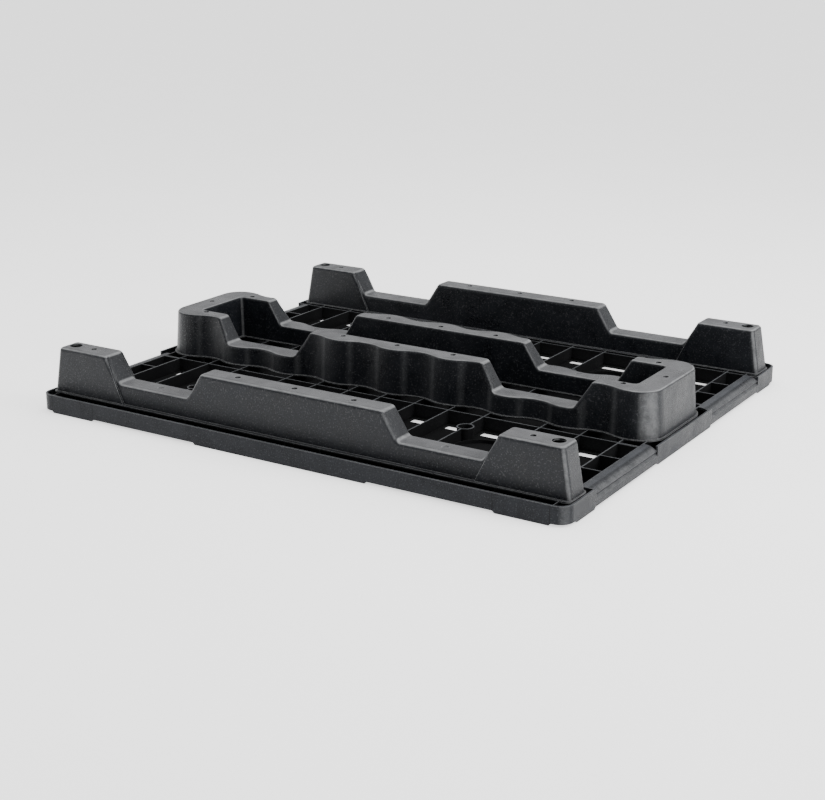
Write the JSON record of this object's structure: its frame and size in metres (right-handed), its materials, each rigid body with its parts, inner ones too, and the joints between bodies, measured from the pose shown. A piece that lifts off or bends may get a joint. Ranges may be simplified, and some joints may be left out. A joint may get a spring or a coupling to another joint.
{
  "type": "plastic pallet",
  "caption": "Ribbed plastic pallet deck carried on two side runners and a wavy ring runner, lying upside down with its feet up.",
  "frame": {"origin": "middle of the bottom of the bounding box, under the safety lips of the load face", "axes": "+X along the 1200 mm side, +Y along the 1000 mm side, +Z from the load face up to the feet. The pallet lies upside down, as pictured: in use it is turned over, so its -Z side carries the load and its +Z faces stand on the floor"},
  "size_m": [1.2, 1, 0.13],
  "materials": {
    "deck_plastic": "satin moulded",
    "runner_plastic": "satin moulded",
    "pin_plastic": "satin moulded"
  },
  "bodies": {
    "root": {"deck": "deck_plastic", "side_runner_front": "runner_plastic", "side_runner_rear": "runner_plastic", "ring_runner": "runner_plastic", "lock_pins": "pin_plastic"}
  },
  "joints": []
}
